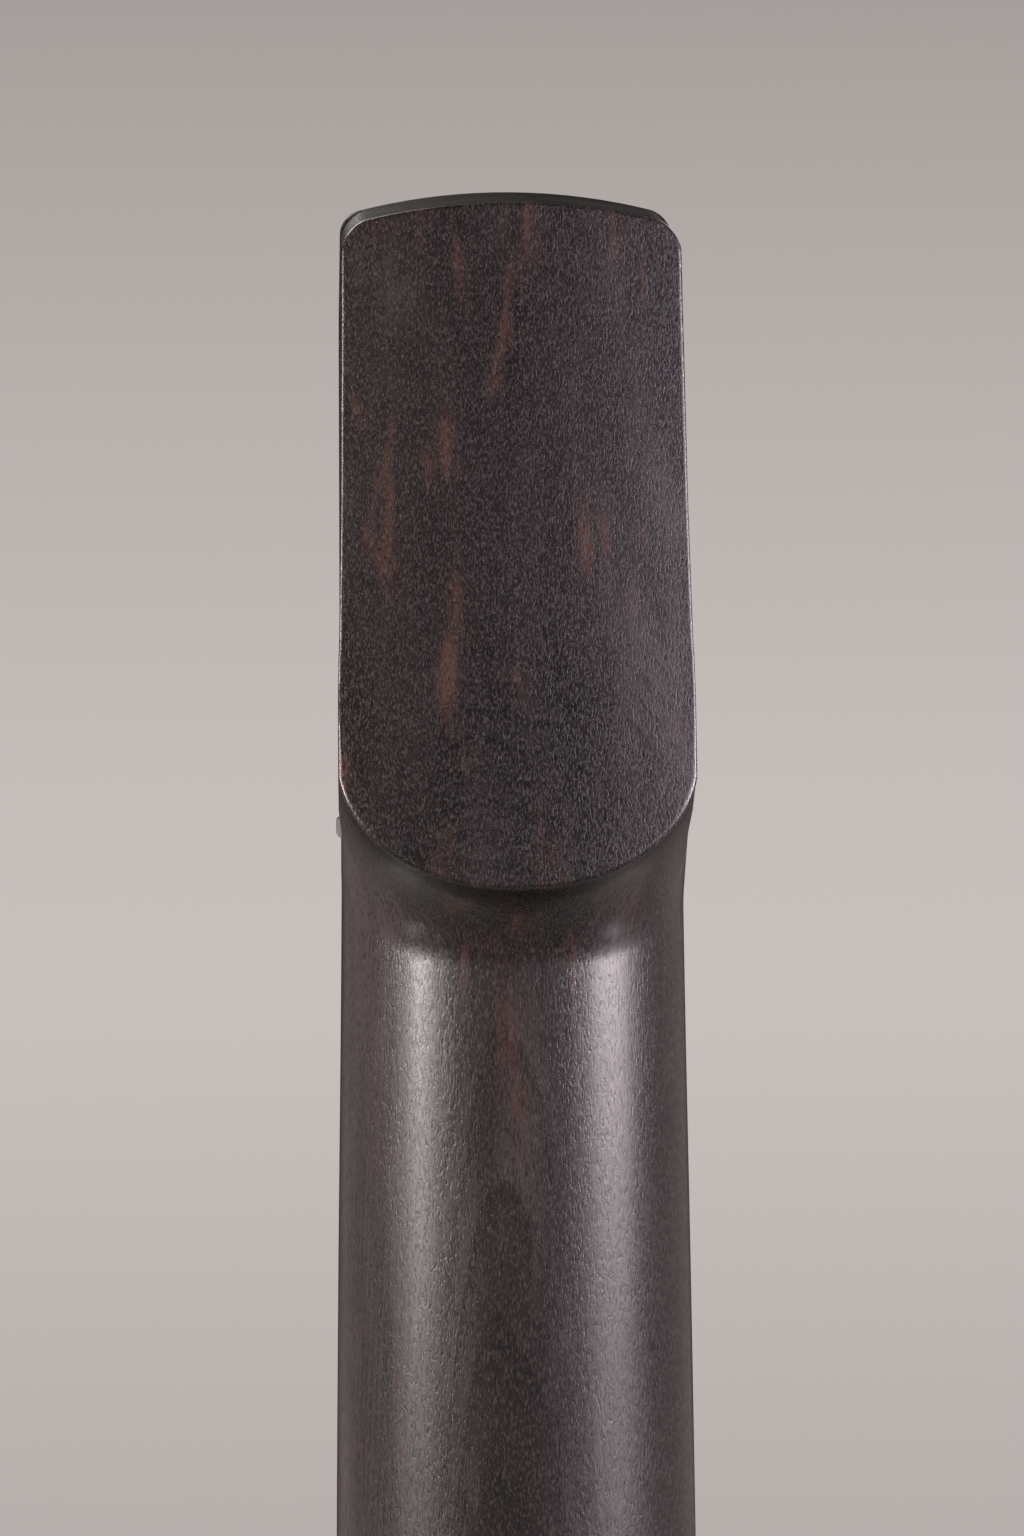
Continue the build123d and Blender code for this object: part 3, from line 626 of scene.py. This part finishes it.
def outline_pts(inset=0.0, r=2.2, per=40):
    """Closed outline of the body, four bowed sides and eased corners, moved inwards by inset."""
    pts = []
    Rt, Rr = (CXB ** 2 + 36) / 12, (CZB ** 2 + 36) / 12
    def top(x):
        return 98 - Rt + math.sqrt(Rt ** 2 - x * x)
    def right(z):
        return 91 - Rr + math.sqrt(Rr ** 2 - z * z)
    e = r * 1.0
    for i in range(per + 1):
        x = -CXB + e + (2 * CXB - 2 * e) * i / per
        pts.append((x, top(x)))
    for i in range(1, 6):
        t = i / 6
        a, b, c = (CXB - e, top(CXB - e)), (CXB, CZB), (right(CZB - e), CZB - e)
        pts.append(tuple((1 - t) ** 2 * a[k] + 2 * t * (1 - t) * b[k] + t * t * c[k] for k in (0, 1)))
    for i in range(per + 1):
        z = CZB - e - (2 * CZB - 2 * e) * i / per
        pts.append((right(z), z))
    half = pts[:]
    corner = []
    for i in range(1, 6):
        t = i / 6
        a, b, c = (right(CZB - e), -(CZB - e)), (CXB, -CZB), (CXB - e, -top(CXB - e))
        corner.append(tuple((1 - t) ** 2 * a[k] + 2 * t * (1 - t) * b[k] + t * t * c[k] for k in (0, 1)))
    pts = half + corner
    full = pts + [(-x, -z) for x, z in pts]
    if inset:
        out = []
        n = len(full)
        for i in range(n):
            (x0, z0), (x1, z1) = full[i - 1], full[(i + 1) % n]
            dx, dz = x1 - x0, z1 - z0
            l = math.hypot(dx, dz)
            out.append((full[i][0] - dz / l * -inset * -1, full[i][1] - dx / l * -inset * 1))
        # the outline runs clockwise seen from the front, so the inward side is checked
        if abs(out[len(out) // 8][1]) > abs(full[len(out) // 8][1]):
            out = [(2 * f[0] - o[0], 2 * f[1] - o[1]) for f, o in zip(full, out)]
        full = out
    return full


def skin_piece(name, node, y_face, sgn, mat):
    """Stretched hide over one side of the body, with a lip glued over the edge; sgn is +1 at the back."""
    def y(off):
        return y_face - sgn * off
    loops = [(0.78, 7.75), (0.15, 7.78), (0.0, 7.5), (0.0, 3.0), (0.0, 1.3), (0.12, 0.75), (0.38, 0.33), (0.75, 0.10), (1.25, 0.0)]
    V, F = [], []
    def ring(ins, off, scale=1.0):
        for x, z in outline_pts(ins):
            V.append((x * scale, y(off), z * scale))
    n = len(outline_pts())
    for ins, off in loops:
        ring(ins, off)
    for sca, off in ((0.955, 0.05), (0.93, 0.07), (0.90, 0.05), (0.8, 0.05), (0.6, 0.05), (0.4, 0.05), (0.2, 0.05)):
        ring(1.25, off, sca)
    c1 = len(V)
    V.append((0, y(0.05), 0))
    rows = c1 // n
    for i in range(rows - 1):
        for k in range(n):
            l = (k + 1) % n
            F.append((i * n + k, i * n + l, (i + 1) * n + l, (i + 1) * n + k))
    for k in range(n):
        F.append(((rows - 1) * n + k, (rows - 1) * n + (k + 1) % n, c1))
    b0 = len(V)
    for ins, off, sca in ((0.78, 0.8, 1.0), (0.78, 0.8, 0.5)):
        ring(ins, off, sca)
    c2 = len(V)
    V.append((0, y(0.8), 0))
    for k in range(n):
        l = (k + 1) % n
        F.append((k, b0 + k, b0 + l, l))
        F.append((b0 + k, b0 + n + k, b0 + n + l, b0 + l))
        F.append((b0 + n + k, c2, b0 + n + l))
    o = mesh_from(name, V, F)
    bm = bmesh.new()
    bm.from_mesh(o.data)
    bmesh.ops.recalc_face_normals(bm, faces=bm.faces)
    bm.to_mesh(o.data)
    bm.free()
    smooth_by_angle(o, 40)
    o.data.materials.append(mat)
    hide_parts(node)
    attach(o, "instrument")
    return o


skin_piece("front_hide", "skin_front", -92.0, -1, skin_mat)
skin_piece("back_hide", "skin_back", 0.0, 1, skin_mat)


def patch_piece():
    V, F = [], []
    seg = 72
    prof = [(34.0, 0.0), (34.0, 0.18), (33.75, 0.34), (33.3, 0.40), (20.0, 0.40)]
    for r, h in prof:
        for i in range(seg + 1):
            a = math.pi + math.pi * i / seg
            V.append((r * math.cos(a), -92.0 - h, 88.0 + r * math.sin(a)))
    n = seg + 1
    for j in range(len(prof) - 1):
        for i in range(seg):
            F.append((j * n + i, j * n + i + 1, (j + 1) * n + i + 1, (j + 1) * n + i))
    c = len(V)
    V.append((0, -92.4, 88.0))
    V.append((0, -92.0, 88.0))
    j = len(prof) - 1
    for i in range(seg):
        F.append((j * n + i, j * n + i + 1, c))
        F.append((i + 1, i, c + 1))
    F.append(tuple([j2 * n for j2 in range(len(prof))] + [c, c + 1]))
    F.append(tuple([c + 1, c] + [j2 * n + seg for j2 in reversed(range(len(prof)))]))
    o = mesh_from("plectrum_patch_hide", V, F)
    bm = bmesh.new()
    bm.from_mesh(o.data)
    bmesh.ops.recalc_face_normals(bm, faces=bm.faces)
    bm.to_mesh(o.data)
    bm.free()
    smooth_by_angle(o, 40)
    o.data.materials.append(patch_mat)
    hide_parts("plectrum_patch")
    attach(o, "instrument")


patch_piece()


# ---------------------------------------------------------------- metal, bone
def metal(name, color, rough, brushed=None, bump=0.05):
    m, nt, bs = nodes_of(name)
    N = NT(nt)
    sc_ = (900, 900, 900) if brushed is None else brushed
    n1 = N.noise(N.mapping(sc_), 1.0, 3.0, 0.6)
    n2 = N.noise(N.mapping((300, 300, 300), (1, 5, 2)), 1.0, 3.0, 0.6)
    c = N.ramp(n2, [(0.3, tuple(v * 0.86 for v in color)), (0.7, tuple(min(1.0, v * 1.06) for v in color))])
    N.link(c, bs.inputs["Base Color"])
    bs.inputs["Metallic"].default_value = 1.0
    N.link(N.maprange(n1, 0.3, 0.7, rough * 0.75, rough * 1.3), bs.inputs["Roughness"])
    N.link(N.bump(n1, bump, 0.00002), bs.inputs["Normal"])
    return m


chrome = metal("nut_polished", (0.86, 0.86, 0.87), 0.10)
steel = metal("peg_steel", (0.50, 0.50, 0.52), 0.26, (4000, 300, 300), 0.12)
brass = metal("bushing_brass", (0.75, 0.56, 0.26), 0.22)
dress("nut_bar", chrome)
dress("peg_bushings", brass)
for k in ("low", "middle", "high"):
    dress("tuning_peg_" + k, steel)

bone, bnt, bbs = nodes_of("bridge_bone")
BN = NT(bnt)
bn1 = BN.noise(BN.mapping((40, 220, 220)), 1.0, 2.0, 0.5)
bn2 = BN.noise(BN.mapping((2500, 2500, 2500), (1, 1, 4)), 1.0, 2.0, 0.6)
BN.link(BN.ramp(bn1, [(0.3, (0.735, 0.67, 0.54)), (0.55, (0.76, 0.70, 0.57)), (0.8, (0.78, 0.73, 0.61))]), bbs.inputs["Base Color"])
BN.link(BN.maprange(bn1, 0.3, 0.7, 0.22, 0.36), bbs.inputs["Roughness"])
BN.link(BN.bump(bn2, 0.08, 0.00002), bbs.inputs["Normal"])
dress("bridge", bone)


# ---------------------------------------------------------------- silk: strings, windings, tail cord
def silk(name, base, dark, turns=1300.0, skew=900.0, rough=0.42, sheen=0.3):
    m, nt, bs = nodes_of(name)
    N = NT(nt)
    sep = N.add("ShaderNodeSeparateXYZ")
    N.link(N.tc.outputs["Object"], sep.inputs[0])
    ph = N.math("ADD", N.math("MULTIPLY", sep.outputs[2], turns),
                N.math("ADD", N.math("MULTIPLY", sep.outputs[0], skew), N.math("MULTIPLY", sep.outputs[1], skew * 0.8)))
    w = N.math("ABSOLUTE", N.math("SUBTRACT", N.math("FRACT", ph), 0.5))
    fib = N.noise(N.mapping((9000, 9000, 2500)), 1.0, 2.0, 0.6)
    t = N.math("ADD", N.math("MULTIPLY", w, 1.3), N.math("MULTIPLY", fib, 0.35))
    N.link(N.ramp(t, [(0.15, base), (0.8, dark)]), bs.inputs["Base Color"])
    N.link(N.maprange(fib, 0.3, 0.7, rough - 0.08, rough + 0.1), bs.inputs["Roughness"])
    N.link(N.bump(N.math("SUBTRACT", 0.5, w), 0.5, 0.00008), bs.inputs["Normal"])
    bs.inputs["Sheen Weight"].default_value = sheen
    return m


string_mat = silk("string_silk", (0.74, 0.60, 0.31), (0.56, 0.43, 0.20))
cord_mat = silk("cord_silk", (0.30, 0.055, 0.09), (0.12, 0.02, 0.035), 1500, 1100, 0.5, 0.5)
for k in ("low", "middle", "high"):
    dress("string_" + k, string_mat)


def catmull(pts, per=10):
    P = [Vector(p) for p in pts]
    P = [P[0] * 2 - P[1]] + P + [P[-1] * 2 - P[-2]]
    out = []
    for i in range(1, len(P) - 2):
        for j in range(per):
            t = j / per
            a, b, c, d = P[i - 1], P[i], P[i + 1], P[i + 2]
            out.append(0.5 * ((2 * b) + (c - a) * t + (2 * a - 5 * b + 4 * c - d) * t * t + (3 * b - a - 3 * c + d) * t ** 3))
    out.append(P[-2])
    return out


def twist(points, radius, off, pitch, strands=2, closed=False, sides=8, step=0.35):
    """Strands twisted round a line."""
    pts = [Vector(p) for p in points]
    if closed:
        pts = pts + [pts[0]]
    seg = [(pts[i + 1] - pts[i]).length for i in range(len(pts) - 1)]
    total = sum(seg)
    n = max(8, int(total / step))
    turns = total / pitch
    if closed:
        turns = round(turns)
    res = []
    acc = [0.0]
    for q in seg:
        acc.append(acc[-1] + q)
    line = []
    for i in range(n if closed else n + 1):
        d = total * i / n
        j = min(max(0, next((k for k in range(len(seg)) if acc[k + 1] >= d), len(seg) - 1)), len(seg) - 1)
        t = (d - acc[j]) / max(seg[j], 1e-9)
        line.append(pts[j].lerp(pts[j + 1], t))
    frames = []
    prev = None
    m = len(line)
    for i, p in enumerate(line):
        a = line[(i - 1) % m] if (closed or i > 0) else p
        b = line[(i + 1) % m] if (closed or i < m - 1) else p
        t = (b - a).normalized()
        if prev is None:
            ref = Vector((0, 0, 1)) if abs(t.z) < 0.8 else Vector((1, 0, 0))
            u = t.cross(ref).normalized()
        else:
            u = (prev - t * prev.dot(t)).normalized()
        prev = u
        frames.append((p, u, t.cross(u)))
    for s in range(strands):
        sp = []
        for i, (p, u, v) in enumerate(frames):
            a = 2 * math.pi * (turns * i / (m if closed else m - 1) + s / strands)
            sp.append(p + (u * math.cos(a) + v * math.sin(a)) * off)
        res.append(tube_mesh(sp, radius, sides, closed))
    return res


def soft_piece(name, parts, mat, body, nodes, angle=60):
    V, F = merge(parts)
    o = mesh_from(name, V, F)
    smooth_by_angle(o, angle)
    o.data.materials.append(mat)
    if nodes:
        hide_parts(*nodes)
    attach(o, body)
    return o


# windings, real turns of string round each peg
SR = {"low": 0.5, "middle": 0.4, "high": 0.3}
WX = {"low": (-4.68, -1.2), "middle": (0.42, 3.9), "high": (1.2, 4.88)}
PZ = {"low": 12.0, "high": 25.0, "middle": 38.0}
for k in ("low", "middle", "high"):
    r = SR[k]
    x0, x1 = WX[k]
    turns = (x1 - x0) / (2 * r) - 1
    pts = []
    steps = int(turns * 40)
    for i in range(steps + 1):
        a = 2 * math.pi * turns * i / steps + 0.6
        x = x0 + r + (x1 - x0 - 2 * r) * i / steps
        pts.append((x, -87.5 - (3.0 + r) * math.cos(a), NUT + PZ[k] + (3.0 + r) * math.sin(a)))
    soft_piece("winding_" + k, [tube_mesh(pts, r * 0.97, 10)], string_mat, "peg_" + k, ["string_winding_" + k])

# tail cord
parts = []
for sx in (-1, 0, 1):
    route = [(sx * 7.5, -93.7, -82.4), (sx * 7.1, -93.8, -88.0), (sx * 6.5, -93.9, -95.0), (sx * 6.1, -93.6, -99.2),
             (sx * 5.6, -91.6, -102.0), (sx * 5.0, -89.6, -103.6), (sx * 4.6, -88.4, -104.4)]
    parts += twist(catmull(route, 12), 0.70, 0.58, 5.2, 2)
    kx = sx * 7.5
    for j, (dz, rr_, ti) in enumerate(((0.0, 1.15, 0.5), (-0.7, 1.2, -0.5), (0.6, 1.0, 0.1))):
        loop = []
        for i in range(28):
            a = 2 * math.pi * i / 28
            loop.append((kx + rr_ * math.cos(a), -94.0 + rr_ * math.sin(a) * 0.8, -82.0 + dz + ti * math.cos(a)))
        parts.append(tube_mesh(loop, 0.55, 8, True))
ring = []
for (x, y_) in rounded_rect(0, -81.0, 15.0 + 0.6, 12.0 + 0.6, 3.0, 8):
    ring.append((x, y_, -104.75))
parts += twist(ring, 0.66, 0.60, 4.6, 2, True)
soft_piece("tail_cord_braid", parts, cord_mat, "instrument", ["tail_cord"])


# ---------------------------------------------------------------- arm cover, brocade over a thin core
def brocade():
    m, nt, bs = nodes_of("arm_cover_brocade")
    N = NT(nt)
    sep = N.add("ShaderNodeSeparateXYZ")
    N.link(N.tc.outputs["Object"], sep.inputs[0])
    along = sep.outputs[2]
    # distance round the section: depth on the side, width on the turned-over front
    across = N.math("SUBTRACT", sep.outputs[0], sep.outputs[1])
    def tri(v, k, ph=0.0):
        return N.math("ABSOLUTE", N.math("SUBTRACT", N.math("FRACT", N.math("ADD", N.math("MULTIPLY", v, k), ph)), 0.5))
    K = 1 / 0.014
    s1 = N.math("ADD", N.math("MULTIPLY", along, K), N.math("MULTIPLY", across, K))
    s2 = N.math("SUBTRACT", N.math("MULTIPLY", along, K), N.math("MULTIPLY", across, K))
    d1 = N.math("ABSOLUTE", N.math("SUBTRACT", N.math("FRACT", s1), 0.5))
    d2 = N.math("ABSOLUTE", N.math("SUBTRACT", N.math("FRACT", s2), 0.5))
    mx = N.math("MAXIMUM", d1, d2)
    mn = N.math("ADD", d1, d2)
    line = N.maprange(mx, 0.44, 0.47, 0.0, 1.0)
    dot = N.maprange(mn, 0.16, 0.12, 0.0, 1.0)
    ringp = N.math("MULTIPLY", N.maprange(mn, 0.30, 0.33, 0.0, 1.0), N.maprange(mn, 0.40, 0.37, 0.0, 1.0))
    gold = N.math("MAXIMUM", N.math("MAXIMUM", line, dot), ringp)
    wa = tri(along, 2400)
    wb = tri(across, 2400)
    weave = N.math("ADD", wa, wb)
    thread = N.noise(N.mapping((2600, 2600, 400)), 1.0, 2.0, 0.6)
    base = N.ramp(thread, [(0.3, (0.012, 0.014, 0.045)), (0.7, (0.03, 0.034, 0.085))])
    gcol = N.ramp(thread, [(0.3, (0.30, 0.20, 0.07)), (0.7, (0.52, 0.38, 0.16))])
    N.link(N.mix(gold, base, gcol), bs.inputs["Base Color"])
    N.link(N.maprange(gold, 0, 1, 0.72, 0.45), bs.inputs["Roughness"])
    h = N.math("ADD", N.math("MULTIPLY", weave, 0.6), N.math("MULTIPLY", gold, 0.7))
    N.link(N.bump(h, 0.5, 0.00015), bs.inputs["Normal"])
    bs.inputs["Sheen Weight"].default_value = 0.4
    return m


def arm_cover():
    prof = []   # (outward, y)
    def arcp(cn, cy_, r, a0, a1, n=6):
        for i in range(n + 1):
            a = math.radians(a0 + (a1 - a0) * i / n)
            prof.append((cn + r * math.cos(a), cy_ + r * math.sin(a)))
    t = 1.1
    arcp(1.4, -2.7, t, 180, 0, 8)
    for y_ in (-12, -30, -47, -64, -82):
        prof.append((2.5 + 0.08 * math.sin((y_ + 2) / 90 * math.pi), y_))
    arcp(0.4, -92.2, 2.1, 0, -90, 8)
    for n_ in (-4, -9, -14):
        prof.append((n_, -94.35))
    arcp(-18.2, -93.25, 1.08, -90, -270, 8)
    prof.append((-8, -92.2))
    prof.append((-0.4, -92.2))
    prof.append((0.25, -91.8))
    prof.append((0.25, -60))
    prof.append((0.25, -20))
    n = len(prof)
    Rr = (CZB ** 2 + 36) / 12
    stations = 61
    V, F = [], []
    for i in range(stations):
        z = -63.6 + 127.2 * i / (stations - 1)
        end = min(i, stations - 1 - i)
        pinch = {0: 0.45, 1: 0.8, 2: 0.95}.get(end, 1.0)
        if end < 3:
            z = math.copysign(63.6 - [0.0, 0.25, 0.9][end], z)
        a = math.asin(z / Rr)
        cx = -(91 - Rr)
        for nn, y_ in prof:
            mid_n = 1.375 if y_ > -91 else nn
            mid_y = y_ if y_ > -91 else -93.27
            n2 = mid_n + (nn - mid_n) * pinch
            y2 = mid_y + (y_ - mid_y) * pinch
            rr2 = Rr + n2
            V.append((cx - rr2 * math.cos(a), y2, rr2 * math.sin(a)))
    for i in range(stations - 1):
        for k in range(n):
            l = (k + 1) % n
            F.append((i * n + k, i * n + l, (i + 1) * n + l, (i + 1) * n + k))
    F.append(tuple(reversed(range(n))))
    F.append(tuple(range((stations - 1) * n, stations * n)))
    o = mesh_from("arm_cover_cloth", V, F)
    bm = bmesh.new()
    bm.from_mesh(o.data)
    bmesh.ops.recalc_face_normals(bm, faces=bm.faces)
    bm.to_mesh(o.data)
    bm.free()
    smooth_by_angle(o, 50)
    o.data.materials.append(brocade())
    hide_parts("arm_cover")
    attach(o, "instrument")
    # piping cord sewn along the turned-over edge and round the ends
    pipe = []
    for i in range(80):
        z = -62.5 + 125.0 * i / 79
        a = math.asin(z / Rr)
        rr2 = Rr - 18.3
        pipe.append((-(91 - Rr) - rr2 * math.cos(a), -93.6, rr2 * math.sin(a)))
    ends = []
    for s in (-1, 1):
        z = s * 62.8
        a = math.asin(z / Rr)
        line = [(-18.3, -93.6), (-10, -93.7), (-2, -93.6), (0.6, -93.1), (1.9, -91.4), (1.9, -80), (1.9, -50), (1.9, -20), (1.9, -4)]
        e = [(-(91 - Rr) - (Rr + q) * math.cos(a), y_, (Rr + q) * math.sin(a)) for q, y_ in line]
        ends.append(e)
    parts = twist(pipe, 0.42, 0.34, 2.6, 2, step=0.5)
    for e in ends:
        parts += twist(catmull(e, 8), 0.42, 0.34, 2.6, 2, step=0.5)
    soft_piece("arm_cover_piping", parts, silk("piping_silk", (0.50, 0.36, 0.14), (0.25, 0.16, 0.05)), "instrument", None)


arm_cover()

# ---------------------------------------------------------------- camera and light
cam_d = bpy.data.cameras.new("cam")
cam = bpy.data.objects.new("cam", cam_d)
bpy.context.scene.collection.objects.link(cam)
bpy.context.scene.camera = cam
F_PX, D_CHIN, YAW = 6407.0, 450.0, math.radians(1.8)
cam_d.lens = F_PX / 1536 * 36
cam_d.sensor_width = 36
cam_d.clip_start, cam_d.clip_end = 0.02, 60
aim = Vector((0, -85.0, NUT + 4.26)) * MM
loc = Vector((aim.x + math.tan(YAW) * (CHIN_Y + D_CHIN + 85.0) * MM, (CHIN_Y + D_CHIN) * MM, aim.z))
cam.location = loc
rot = (aim - loc).to_track_quat("-Z", "Y")
ROLL = math.radians(-0.35)
cam.rotation_mode = "QUATERNION"
cam.rotation_quaternion = rot @ Euler((0, 0, ROLL)).to_quaternion()

sc = bpy.context.scene
sc.view_settings.view_transform = "Standard"
sc.view_settings.look = "None"
sc.view_settings.exposure = 0
sc.view_settings.gamma = 1

world = bpy.data.worlds.new("studio")
sc.world = world
world.use_nodes = True
wn = world.node_tree
for n in list(wn.nodes):
    wn.nodes.remove(n)
wo = wn.nodes.new("ShaderNodeOutputWorld")
W = NT(wn)
wsep = W.add("ShaderNodeSeparateXYZ")
W.link(W.tc.outputs["Generated"], wsep.inputs[0])
seen = W.ramp(W.maprange(wsep.outputs[2], -0.125, 0.125, 0.0, 1.0),
              [(0.0, (0.462, 0.418, 0.403)), (0.12, (0.500, 0.453, 0.437)), (0.36, (0.578, 0.527, 0.509)), (0.50, (0.556, 0.506, 0.489)),
               (0.73, (0.479, 0.434, 0.418)), (0.90, (0.415, 0.373, 0.358)), (1.0, (0.370, 0.332, 0.320))])
low_a = W.maprange(wsep.outputs[2], 0.05, 0.50, 1.0, 0.03, True)
low_b = W.maprange(wsep.outputs[2], 0.02, 0.11, 1.5, 0.02, True)
side = W.maprange(wsep.outputs[1], -0.5, 0.1, 1.0, 0.0, True)
ax_ = W.maprange(W.math("ABSOLUTE", wsep.outputs[0]), 0.25, 0.60, 0.04, 1.0, True)
low_b = W.math("MULTIPLY", low_b, ax_)
low_a = W.math("MULTIPLY", low_a, W.maprange(wsep.outputs[2], -0.30, -0.03, 0.10, 1.0, True))
low_b = W.math("MULTIPLY", low_b, W.maprange(wsep.outputs[2], -0.45, -0.12, 0.25, 1.0, True))
lit = W.math("ADD", W.math("MULTIPLY", low_a, W.math("SUBTRACT", 1.0, side)), W.math("MULTIPLY", low_b, side))
litc = W.mix(1.0, W.ramp(lit, [(0.0, (0, 0, 0)), (1.0, (0.315, 0.275, 0.274))]), (1, 1, 1), "MULTIPLY")
lp = W.add("ShaderNodeLightPath")
wc = W.mix(lp.outputs["Is Camera Ray"], litc, seen)
bg = W.add("ShaderNodeBackground")
W.link(wc, bg.inputs[0])
bg.inputs[1].default_value = 1.0
wn.links.new(bg.outputs[0], wo.inputs[0])


def area(name, loc, target, sx, sy, power, color=(1, 1, 1)):
    l = bpy.data.lights.new(name, "AREA")
    l.shape = "RECTANGLE"
    l.size, l.size_y = sx, sy
    l.energy = power
    l.color = color
    o = bpy.data.objects.new(name, l)
    sc.collection.objects.link(o)
    o.location = loc
    o.rotation_mode = "QUATERNION"
    o.rotation_quaternion = (Vector(target) - Vector(loc)).to_track_quat("-Z", "Y")
    return o


AX = (0, -0.085)
SPREAD = 100.0


def strip(name, az, dist, z0, z1, width, radiance, color):
    """Upright soft box; az degrees from the back (+Y) towards image left (+X)."""
    a = math.radians(az)
    # the sides of the box keep its light off the floor
    p = (AX[0] + dist * math.sin(a), AX[1] + dist * math.cos(a), (z0 + z1) / 2)
    o = area(name, p, (AX[0], AX[1], (z0 + z1) / 2), width, z1 - z0, radiance * math.pi * width * (z1 - z0), color)
    o.data.spread = math.radians(SPREAD)
    return o


WARM = (1.0, 0.905, 0.885)
strip("left", 66, 0.9, 0.712, 1.10, 0.22, 13.5, WARM)
strip("right", -65, 0.9, 0.708, 1.10, 0.42, 9.0, (1.0, 0.90, 0.96))
strip("rim_left", 82, 0.9, 0.20, 0.44, 0.16, 1.6, WARM)
strip("rim_right", -80, 0.9, 0.20, 0.44, 0.16, 1.6, (1.0, 0.90, 0.96))
strip("face_right", -36, 0.9, 0.92, 1.22, 0.26, 5.2, (0.88, 0.82, 1.0))
strip("face_left", 43, 0.9, 0.88, 1.12, 0.16, 6.0, (1.0, 0.90, 0.88))
# above and behind the instrument, for the playing side
area("front_key", (0.9, -1.5, 2.1), (0, -0.08, 0.2), 1.2, 1.2, 27.0, (1.0, 0.97, 0.94))
area("front_fill", (-1.2, -1.5, 1.9), (0, -0.08, 0.2), 1.2, 1.2, 12.0, (0.95, 0.97, 1.0))

# floor
fl = mesh_from("floor", [(-1.6, -1.6, 0), (1.6, -1.6, 0), (1.6, 1.6, 0), (-1.6, 1.6, 0)], [(0, 1, 2, 3)], 1.0)
fl.location.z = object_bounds()[0][2] - 0.0005
fm, fnt, fbs = nodes_of("floor_pale")
FN = NT(fnt)
fc = FN.ramp(FN.noise(FN.mapping((3, 3, 3)), 1.0, 4.0), [(0.3, (0.60, 0.585, 0.56)), (0.7, (0.66, 0.645, 0.62))])
FN.link(fc, fbs.inputs["Base Color"])
fbs.inputs["Roughness"].default_value = 0.8
fl.data.materials.append(fm)
